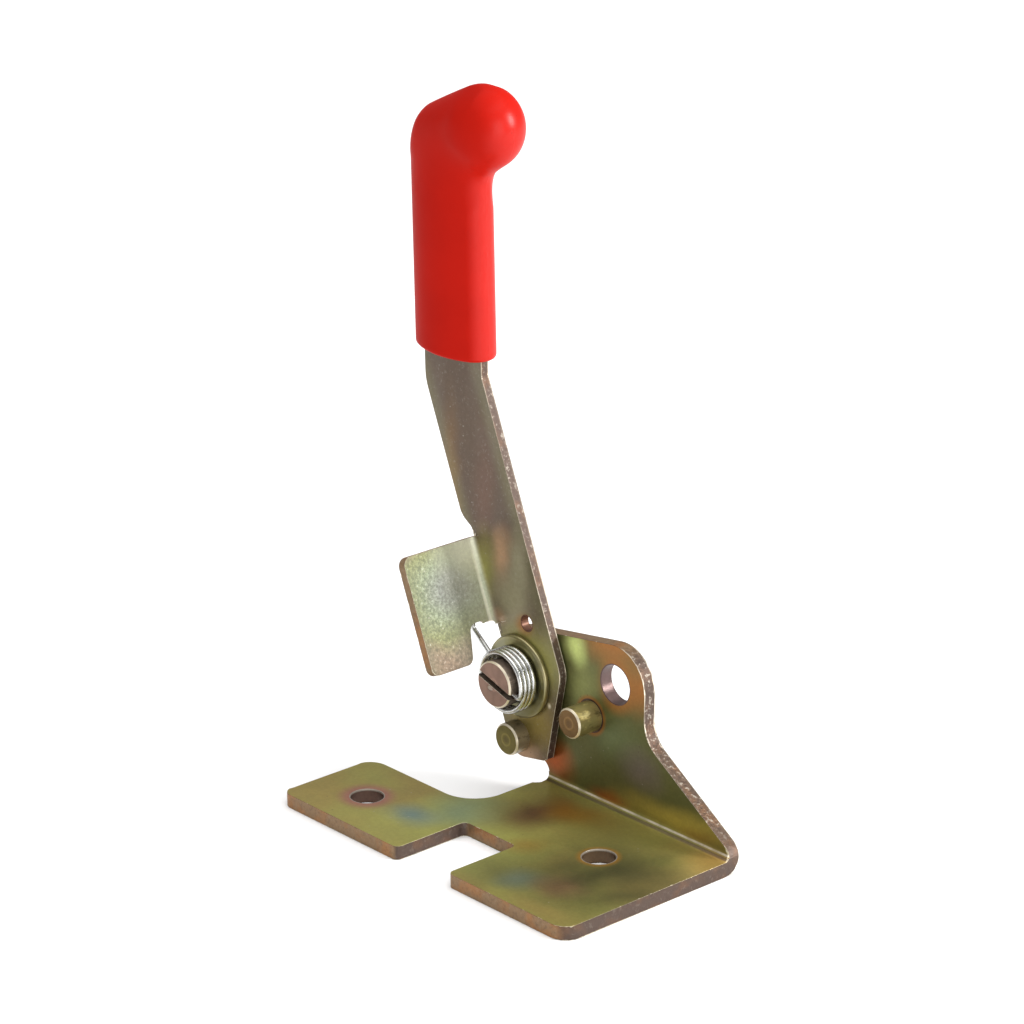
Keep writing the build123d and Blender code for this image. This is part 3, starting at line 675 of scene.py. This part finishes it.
def washer_finish(zinc):
    """The washer: grey-green film with a yellow round edge, painted lighter there as a highlight."""
    finish = Finish("zinc_washer")
    away = finish.from_axis(HINGE)
    cloud = finish.noise(0.004, 3.0, 0.55, shift=(2, 2, 1))
    moss, grey, rubbed = (0.22, 0.20, 0.085), (0.25, 0.24, 0.15), (0.42, 0.37, 0.20)
    film = finish.mix(cloud.step(0.35, 0.65), moss, grey)
    # The yellow band round the outer edge is partly the edge's film and partly a painted highlight.
    outer = away.step(7.9 * MM, 8.8 * MM)
    shown = finish.mix(outer * 0.6, film, rubbed)
    normal = finish.relief((finish.noise(0.0007, 3.0, 0.6), 0.00003))
    return finish.surface(Base_Color=shown, Metallic=0.88, Roughness=0.24 + 0.12 * cloud, Normal=normal)


def wire_finish(zinc):
    """Bright drawn wire, with faint drawing lines and a little grey in its film."""
    finish = Finish("spring_wire")
    film = finish.noise(0.0022, 3.0, 0.55)
    grey = (0.36, 0.37, 0.36)
    shown = finish.mix(film.step(0.42, 0.7) * 0.55, zinc.wire, grey)
    lines = finish.noise(0.00022, 3.0, 0.6, stretch=(1, 3.2, 1))
    normal = finish.relief((lines, 0.00001))
    return finish.surface(Base_Color=shown, Metallic=1.0, Roughness=0.18 + 0.16 * film, Normal=normal)


def red_moulding(zinc, shape, place):
    """Red plastic with a satin skin: a fine mould texture, pores on the ball and a faint parting line."""
    finish = Finish("red_plastic")
    cloud = finish.noise(0.014, 3.0, 0.5)
    deep, in_pores = lit_up(zinc.red, 0.86), (0.22, 0.01, 0.01)
    shown = finish.mix(cloud.step(0.3, 0.7) * 0.5, zinc.red, deep)
    on_ball = finish.z.step(place.z + shape.ball_along - shape.ball, place.z + shape.ball_along)
    pores = finish.cells(0.0024).step(0.10, 0.03) * on_ball * finish.nx.step(0.3, 0.8)
    shown = finish.mix(pores * 0.5, shown, in_pores)
    parting = abs(finish.y - place.y).step(0.22 * MM, 0.06 * MM) * finish.nx.step(0.75, 0.95)
    skin = finish.noise(0.00032, 2.0, 0.55)
    swell = finish.noise(0.009, 2.0, 0.4, shift=(3, 3, 3))
    layers = (swell, 0.0001), (skin, 0.000007), (1.0 - pores, 0.00004), (parting, 0.00003)
    shine = 0.3 * finish.nx.step(0.5, 0.95)
    return finish.surface(
        Base_Color=shown, Roughness=0.30 + 0.06 * cloud, Normal=finish.relief(*layers),
        Specular_IOR_Level=0.015, Coat_Weight=shine, Coat_Roughness=0.3,
    )


def assign(target, **settings):
    """Sets several properties of one thing."""
    for key, value in settings.items():
        setattr(target, key, value)


def added(add, name, **settings):
    """The object that one of Blender's add steps makes, with a name, as all that is selected."""
    bpy.ops.object.select_all(action="DESELECT")
    add(**settings)
    made = bpy.context.active_object
    made.name = name
    return made


def copy_of(node, name):
    """A merged copy of a node's mesh, its flat faces made whole, active and all that is selected."""
    weld, flat_angle = 0.03 * MM, math.radians(0.4)
    solid = frame["nodes"][node]
    bpy.ops.object.select_all(action="DESELECT")
    solid.select_set(True)
    bpy.context.view_layer.objects.active = solid
    bpy.ops.object.duplicate()
    piece = bpy.context.active_object
    piece.name = piece.data.name = name
    piece.parent = None
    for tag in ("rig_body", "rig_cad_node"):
        del piece[tag]
    piece.data.materials.clear()
    bpy.ops.object.mode_set(mode="EDIT")
    bpy.ops.mesh.select_all(action="SELECT")
    bpy.ops.mesh.customdata_custom_splitnormals_clear()
    bpy.ops.mesh.remove_doubles(threshold=weld)
    bpy.ops.mesh.dissolve_limited(angle_limit=flat_angle)
    bpy.ops.object.mode_set(mode="OBJECT")
    return piece


def apply_modifier(piece, kind, **settings):
    """Adds a modifier of that kind to the active piece and applies it."""
    bpy.ops.object.modifier_add(type=kind)
    modifier = piece.modifiers[-1]
    assign(modifier, **settings)
    bpy.ops.object.modifier_apply(modifier=modifier.name)


def round_edges(piece, node, width, segments=3, sharper_than=math.radians(32), left_sharp=None):
    """Rounds every edge of the active piece that turns by more than an angle, and shades it smooth.

    left_sharp is a place and a reach: edges that near stay as they are, because too many meet there. Where
    two roundings run into each other in a fold, a point can land off the node's surface. It is put back.
    """
    bpy.ops.object.shade_smooth()
    bpy.ops.object.mode_set(mode="EDIT")
    bpy.ops.mesh.select_mode(type="EDGE")
    bpy.ops.mesh.select_all(action="DESELECT")
    bpy.ops.mesh.edges_select_sharp(sharpness=sharper_than)
    bpy.ops.transform.edge_bevelweight(value=1.0)
    bpy.ops.mesh.select_mode(type="VERT")
    bpy.ops.object.mode_set(mode="OBJECT")
    weights = piece.data.attributes["bevel_weight_edge"].data
    if left_sharp is not None:
        place, reach = left_sharp
        for edge in piece.data.edges:
            ends = [piece.data.vertices[number].co for number in edge.vertices]
            middle = sum(ends, Vector()) / 2
            if weights[edge.index].value > 0.0 and (middle - place).length < reach:
                weights[edge.index].value = 0.0
                edge.use_edge_sharp = True
    apply_modifier(
        piece, "BEVEL", width=width, segments=segments, offset_type="ABSOLUTE", limit_method="WEIGHT",
        use_clamp_overlap=False, loop_slide=False, harden_normals=True,
    )
    solid, stray = frame["nodes"][node], 0.35 * width
    for point in piece.data.vertices:
        spot = solid.closest_point_on_mesh(point.co)[1]
        if (spot - point.co).length > stray:
            point.co = spot


def stand_in(piece, node, body, material):
    """Gives a piece its finish and its body, and lets it stand for a node."""
    piece.data.materials.append(material)
    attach(piece, body)
    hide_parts(node)


class HANDLE_OT_bracket(bpy.types.Operator):
    """Round the edges of the folded bracket and give it its zinc film"""

    bl_idname = "handle.bracket"
    bl_label = "Fold the bracket"

    def execute(self, context):
        piece, width = copy_of("bracket", "folded_bracket"), context.scene.handle_sizes.bracket_edge
        fold_end, reach = Vector((18.7, 31.8, 4.0)) * MM, 3 * MM
        round_edges(piece, "bracket", width, left_sharp=(fold_end, reach))
        stand_in(piece, "bracket", STILL, bracket_finish(context.scene.handle_zinc))
        return {"FINISHED"}


class HANDLE_OT_lever(bpy.types.Operator):
    """Round the edges of the lever with its tab and give it its zinc film"""

    bl_idname = "handle.lever"
    bl_label = "Bend the lever"

    def execute(self, context):
        sizes = context.scene.handle_sizes
        piece = copy_of("lever", "bent_lever")
        round_edges(piece, "lever", sizes.lever_edge)
        stand_in(piece, "lever", SWINGING, lever_finish(context.scene.handle_zinc, sizes))
        return {"FINISHED"}


class HANDLE_OT_pins(bpy.types.Operator):
    """Break the edges of the three turned pins and give each its film"""

    bl_idname = "handle.pins"
    bl_label = "Turn the pins"

    def execute(self, context):
        zinc = context.scene.handle_zinc
        punch = ((11.74, 23.3, 24.1), (1.1, 2.0, 0.8))
        for node, name, body, face, side, marks in (
            ("pivot_pin", "slotted_pivot", STILL, (0.25, 0.148, 0.108), (0.20, 0.155, 0.12), (punch,)),
            ("stop_pin", "riveted_stop", STILL, (0.21, 0.12, 0.045), (0.31, 0.26, 0.10), ()),
            ("link_pin", "riveted_link", SWINGING, (0.20, 0.165, 0.045), (0.32, 0.265, 0.17), ()),
        ):
            low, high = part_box(node)
            piece = copy_of(node, name)
            round_edges(piece, node, context.scene.handle_sizes.pin_edge, 2)
            made = turned_finish("zinc_" + name, zinc, (low + high) / 2, face, side, marks)
            stand_in(piece, node, body, made)
        return {"FINISHED"}


class HANDLE_OT_washer(bpy.types.Operator):
    """Smooth the round-edged washer and give it its film"""

    bl_idname = "handle.washer"
    bl_label = "Stamp the washer"

    def execute(self, context):
        piece = copy_of("washer", "round_washer")
        round_edges(piece, "washer", context.scene.handle_sizes.pin_edge, 2)
        stand_in(piece, "washer", STILL, washer_finish(context.scene.handle_zinc))
        return {"FINISHED"}


def toward(turn):
    """The direction of an angle."""
    return Vector((math.cos(turn), math.sin(turn)))


def leaned(across, along, turn):
    """A place across and along the bar, as right and up from the pin's axis."""
    c, s = math.cos(turn), math.sin(turn)
    return across * c - along * s, across * s + along * c


def arc(centre, radius, start, end, steps):
    """Points on an arc, from one angle to another."""
    return [centre + radius * toward(start + (end - start) * step / steps) for step in range(steps + 1)]


def spring_line(sizes):
    """The middle of the wire: hook in the slot, coil round the pin's head, and leg to behind the tab."""
    front, back = (corner.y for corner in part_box("return_spring"))
    front, back = front + sizes.wire / 2, back - sizes.wire / 2
    hook_reach = math.sqrt((sizes.coil - sizes.hook_bend) ** 2 - sizes.hook_bend**2)
    coil_start = sizes.slot_turn + math.atan2(sizes.hook_bend, hook_reach)
    leg_normal = sizes.leg_turn - math.pi / 2
    meet = math.acos((sizes.leg_offset + sizes.leg_bend) / (sizes.coil + sizes.leg_bend))
    turns = round((back - front) / sizes.coil_pitch - (leg_normal + meet - coil_start) / math.tau)
    coil_end = leg_normal + meet + math.tau * turns
    hook_steps, bend_steps, turn_steps = 8, 10, 64

    hook_centre = toward(coil_start) * (sizes.coil - sizes.hook_bend)
    hook = arc(hook_centre, sizes.hook_bend, sizes.slot_turn - math.pi / 2, coil_start, hook_steps)
    flat = [(spot, front) for spot in (toward(sizes.slot_turn) * sizes.hook_end, *hook)]
    steps = turn_steps * (turns + 1)
    for step in range(1, steps):
        share = step / steps
        turn = coil_start + (coil_end - coil_start) * share
        flat.append((toward(turn) * sizes.coil, front + (back - front) * share))
    leg_centre = toward(coil_end) * (sizes.coil + sizes.leg_bend)
    bend_start = coil_end - turns * math.tau + math.pi
    bend = arc(leg_centre, sizes.leg_bend, bend_start, leg_normal + math.pi, bend_steps)
    knee = bend[-1] + toward(sizes.leg_turn) * sizes.leg_out
    seat = Vector(leaned(-sizes.seat_across, sizes.seat_along, sizes.bar_turn))
    before, after = (bend[-1] - knee).normalized(), (seat - knee).normalized()
    corner = before.angle(after) / 2
    centre = knee + (before + after).normalized() * sizes.leg_knee / math.sin(corner)
    first = knee + before * sizes.leg_knee / math.tan(corner) - centre
    last = knee + after * sizes.leg_knee / math.tan(corner) - centre
    start = math.atan2(first.y, first.x)
    swing = (math.atan2(last.y, last.x) - start + math.pi) % math.tau - math.pi
    bow = arc(centre, sizes.leg_knee, start, start + swing, bend_steps)
    flat += [(spot, back) for spot in (*bend, *bow, seat)]
    return [Vector((HINGE.x + spot.x, depth, HINGE.z + spot.y)) for spot, depth in flat]


class HANDLE_OT_spring(bpy.types.Operator):
    """Wind the return spring, from its hook in the pin to the end of its leg"""

    bl_idname = "handle.spring"
    bl_label = "Wind the spring"

    def execute(self, context):
        sizes = context.scene.handle_sizes
        piece = added(bpy.ops.curve.primitive_nurbs_path_add, "wound_spring")
        curve = piece.data
        curve.splines.clear()
        points = spring_line(sizes)
        line = curve.splines.new("POLY")
        line.points.add(len(points) - 1)
        for point, place in zip(line.points, points):
            point.co = (*place, 1.0)
        assign(curve, bevel_depth=sizes.wire / 2, bevel_resolution=4, use_fill_caps=True)
        bpy.ops.object.convert(target="MESH")
        bpy.ops.object.mode_set(mode="EDIT")
        bpy.ops.mesh.select_all(action="SELECT")
        bpy.ops.mesh.remove_doubles(threshold=0.001 * MM)
        bpy.ops.mesh.normals_make_consistent(inside=False)
        bpy.ops.object.mode_set(mode="OBJECT")
        bpy.ops.object.shade_smooth_by_angle(angle=math.radians(50))
        piece.data.name = piece.name
        piece.data.materials.append(wire_finish(context.scene.handle_zinc))
        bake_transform(piece)
        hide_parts("return_spring")
        return {"FINISHED"}


def round_both(first, second, radius):
    """The distance to what two shapes share, with their common edge rounded."""
    over = np.hypot(np.maximum(first + radius, 0.0), np.maximum(second + radius, 0.0))
    return np.minimum(-radius, np.maximum(first, second)) + over


def melt(first, second, reach):
    """The distance to two shapes that flow into each other."""
    share = np.clip(0.5 + 0.5 * (second - first) / reach, 0.0, 1.0)
    return second + (first - second) * share - reach * share * (1.0 - share)


def oval_skin(shape, u, w):
    """The distance to an oval of four arcs."""
    half_w, half_d, end_r = shape.half_width, shape.half_depth, shape.end
    end_u = half_w - end_r
    side_r = (half_w**2 - 2 * half_w * end_r + half_d**2) / (2 * (half_d - end_r))
    u, w = abs(u), abs(w) + side_r - half_d
    at_end = u * (side_r - half_d) > end_u * w
    return np.where(at_end, np.hypot(u - end_u, w - side_r + half_d) - end_r, np.hypot(u, w) - side_r)


def nose_skin(shape, u, v, w):
    """The distance to the ball and the round cone that runs from it to the shoulder."""
    run = shape.ball_across - shape.shoulder_across, shape.ball_along - shape.shoulder_along
    span = math.hypot(*run)
    c, s = run[0] / span, run[1] / span
    u, v = u - shape.shoulder_across, v - shape.shoulder_along
    along, off = u * c + v * s, np.hypot(v * c - u * s, w * shape.nose_flat)
    lean = (shape.shoulder - shape.ball) / span
    level = math.sqrt(1.0 - lean**2)
    where = along * level - off * lean
    side = off * level + along * lean - shape.shoulder
    side = np.where(where < 0.0, np.hypot(along, off) - shape.shoulder, side)
    return np.where(where > level * span, np.hypot(along - span, off) - shape.ball, side)


def grip_skin(shape, places):
    """The distance of places from the grip's outer skin, each given across, along and forward."""
    u, v, w = places.T
    s, c = math.sin(shape.crown_slope), math.cos(shape.crown_slope)
    crown = c * (v - shape.ball_along) - s * (u - shape.ball_across) - shape.ball + shape.crown_sink
    body = round_both(oval_skin(shape, u, w), crown, shape.crown)
    whole = melt(body, nose_skin(shape, u, v, w), shape.blend)
    foot = (shape.start - v) * math.cos(shape.slant) - u * math.sin(shape.slant)
    return round_both(whole, foot, shape.rim)


def rising(values, low, high):
    """0 under low, 1 over high, and smooth between. low may be the larger."""
    share = np.clip((values - low) / (high - low), 0.0, 1.0)
    return share * share * (3.0 - 2.0 * share)


def melt_weights(shape, places):
    """How far each place is smoothed: all the way round the ball on the front and the back, nowhere else.

    Each limit is where the smoothing begins and where it is whole, in millimetres.
    """
    left, right, foot = (-7.5, -3.5), (12.5, 9.5), (36.0, 41.0)
    facing, round_ball = (1.2, 3.2), (3.0, 7.0)
    u, v, w = places.T / MM
    from_ball = np.hypot(u - shape.ball_across / MM, v - shape.ball_along / MM)
    sides = rising(u, *left) * rising(u, *right)
    return rising(abs(w), *facing) * rising(from_ball, *round_ball) * rising(v, *foot) * sides


class HANDLE_OT_grip(bpy.types.Operator):
    """Mould the grip: its ball flows into the oval body as one skin"""

    bl_idname = "handle.grip"
    bl_label = "Mould the grip"

    def execute(self, context):
        shape, turn = context.scene.handle_grip, context.scene.handle_sizes.bar_turn
        piece = copy_of("grip", "moulded_grip")
        apply_modifier(piece, "REMESH", mode="VOXEL", voxel_size=shape.voxel)
        right, up = leaned(shape.kink_across, shape.kink_along, turn)
        place = Vector((HINGE.x + right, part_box("lever")[1].y - LEVER_SHEET / 2, HINGE.z + up))
        c, s = math.cos(shape.lean), math.sin(shape.lean)
        turned = np.array(((c, 0.0, s), (-s, 0.0, c), (0.0, -1.0, 0.0)))
        points = np.empty(len(piece.data.vertices) * 3)
        piece.data.vertices.foreach_get("co", points)
        places = (points.reshape(-1, 3) - place) @ turned.T
        margin = 2 * shape.voxel
        u, v, w = places.T
        outer = (
            (abs(u) > shape.pocket_width + margin)
            | (abs(w) > shape.pocket_depth + margin)
            | (v > shape.pocket_end + margin)
        )
        moved = places[outer]
        probe, pulls = 0.01 * MM, 8
        for _ in range(pulls):
            away = grip_skin(shape, moved)
            ahead = [grip_skin(shape, moved + probe * axis) for axis in np.eye(3)]
            slope = np.stack([(reached - away) / probe for reached in ahead], axis=1)
            size = np.maximum((slope**2).sum(axis=1), 0.2)
            moved -= slope * (away / size)[:, None]
        places[outer] = moved
        piece.data.vertices.foreach_set("co", (places @ turned + np.array(place)).ravel())
        piece.data.update()
        around = piece.vertex_groups.new(name="around_the_ball")
        for number, weight in enumerate(melt_weights(shape, places)):
            if weight > 0.0:
                around.add([number], weight, "REPLACE")
        apply_modifier(piece, "SMOOTH", factor=0.5, iterations=shape.melting, vertex_group=around.name)
        piece.vertex_groups.clear()
        apply_modifier(piece, "SMOOTH", factor=0.5, iterations=shape.smoothing)
        bpy.ops.object.shade_smooth()
        made = red_moulding(context.scene.handle_zinc, shape, place)
        stand_in(piece, "grip", SWINGING, made)
        return {"FINISHED"}


def soft_box(name, place, aim, width, height, power):
    """A square light that looks at a point."""
    lamp = added(bpy.ops.object.light_add, name, type="AREA", location=place)
    assign(lamp.data, shape="RECTANGLE", size=width, size_y=height, energy=power)
    lamp.rotation_euler = (Vector(aim) - Vector(place)).to_track_quat("-Z", "Y").to_euler()


class HANDLE_OT_studio(bpy.types.Operator):
    """Set the pale floor, the soft lights and the camera"""

    bl_idname = "handle.studio"
    bl_label = "Set the studio"

    def execute(self, context):
        studio = context.scene.handle_studio
        low, high = CAD_BOX
        middle = (low + high) / 2
        floor_size, gap, dust = 12.0, 0.05 * MM, (0.86, 0.86, 0.86)
        under = Vector((0.0, 0.0, low.z - gap))
        floor = added(bpy.ops.mesh.primitive_plane_add, "pale_floor", size=floor_size, location=under)
        finish = Finish("pale_floor")
        soft = finish.noise(0.4, 2.0, 0.5)
        shown = finish.mix(soft.step(0.3, 0.7) * 0.03, studio.floor, dust)
        floor.data.materials.append(finish.surface(Base_Color=shown, Roughness=0.8))
        world = bpy.data.worlds.new("studio_air")
        world.use_nodes = True
        air = world.node_tree.nodes["Background"].inputs
        air["Color"].default_value = (1.0, 1.0, 1.0, 1.0)
        air["Strength"].default_value = studio.sky
        context.scene.world = world
        soft_box("key_light", middle + Vector((0.69, 0.54, 0.36)), middle, 0.25, 0.35, studio.key)
        soft_box("fill_light", middle + Vector((0.95, -0.25, 0.25)), middle, 0.6, 0.6, studio.fill)
        above = middle + Vector((0.0, 0.0, 1.0))
        overhead = added(bpy.ops.object.light_add, "top_light", type="SUN", location=above)
        assign(overhead.data, energy=studio.top, angle=math.radians(80))
        a, e = studio.camera_azimuth, studio.camera_elevation
        back = Vector((math.sin(a) * math.cos(e), -math.cos(a) * math.cos(e), math.sin(e)))
        camera = added(bpy.ops.object.camera_add, "studio_camera", location=studio.camera_place)
        camera.rotation_euler = (-back).to_track_quat("-Z", "Y").to_euler()
        assign(camera.data, lens=studio.focal, clip_start=0.01)
        context.scene.camera = camera
        context.scene.view_settings.view_transform = "Standard"
        return {"FINISHED"}


PIECES = (
    HANDLE_OT_bracket,
    HANDLE_OT_lever,
    HANDLE_OT_pins,
    HANDLE_OT_washer,
    HANDLE_OT_spring,
    HANDLE_OT_grip,
    HANDLE_OT_studio,
)
GROUPS = {
    "handle_sizes": HandleSizes,
    "handle_grip": GripShape,
    "handle_zinc": ZincColours,
    "handle_studio": StudioSetup,
}


class HANDLE_PT_sidebar(bpy.types.Panel):
    """The steps of the handle's looks"""

    bl_idname = "HANDLE_PT_sidebar"
    bl_label = "Cab Door Handle"
    bl_space_type = "VIEW_3D"
    bl_region_type = "UI"
    bl_category = "Handle"

    def draw(self, context):
        column = self.layout.column(align=True)
        for step in PIECES:
            column.operator(step.bl_idname)
        for name in GROUPS:
            group, box = getattr(context.scene, name), self.layout.box()
            for size in group.__annotations__:
                box.prop(group, size)


CLASSES = (*GROUPS.values(), *PIECES, HANDLE_PT_sidebar)


def register():
    for made in CLASSES:
        bpy.utils.register_class(made)
    for name, group in GROUPS.items():
        setattr(bpy.types.Scene, name, bpy.props.PointerProperty(type=group))


def unregister():
    for name in GROUPS:
        delattr(bpy.types.Scene, name)
    for made in reversed(CLASSES):
        bpy.utils.unregister_class(made)


def main():
    register()
    for step in PIECES:
        group, name = step.bl_idname.split(".")
        getattr(getattr(bpy.ops, group), name)()


if __name__ == "__main__":
    main()
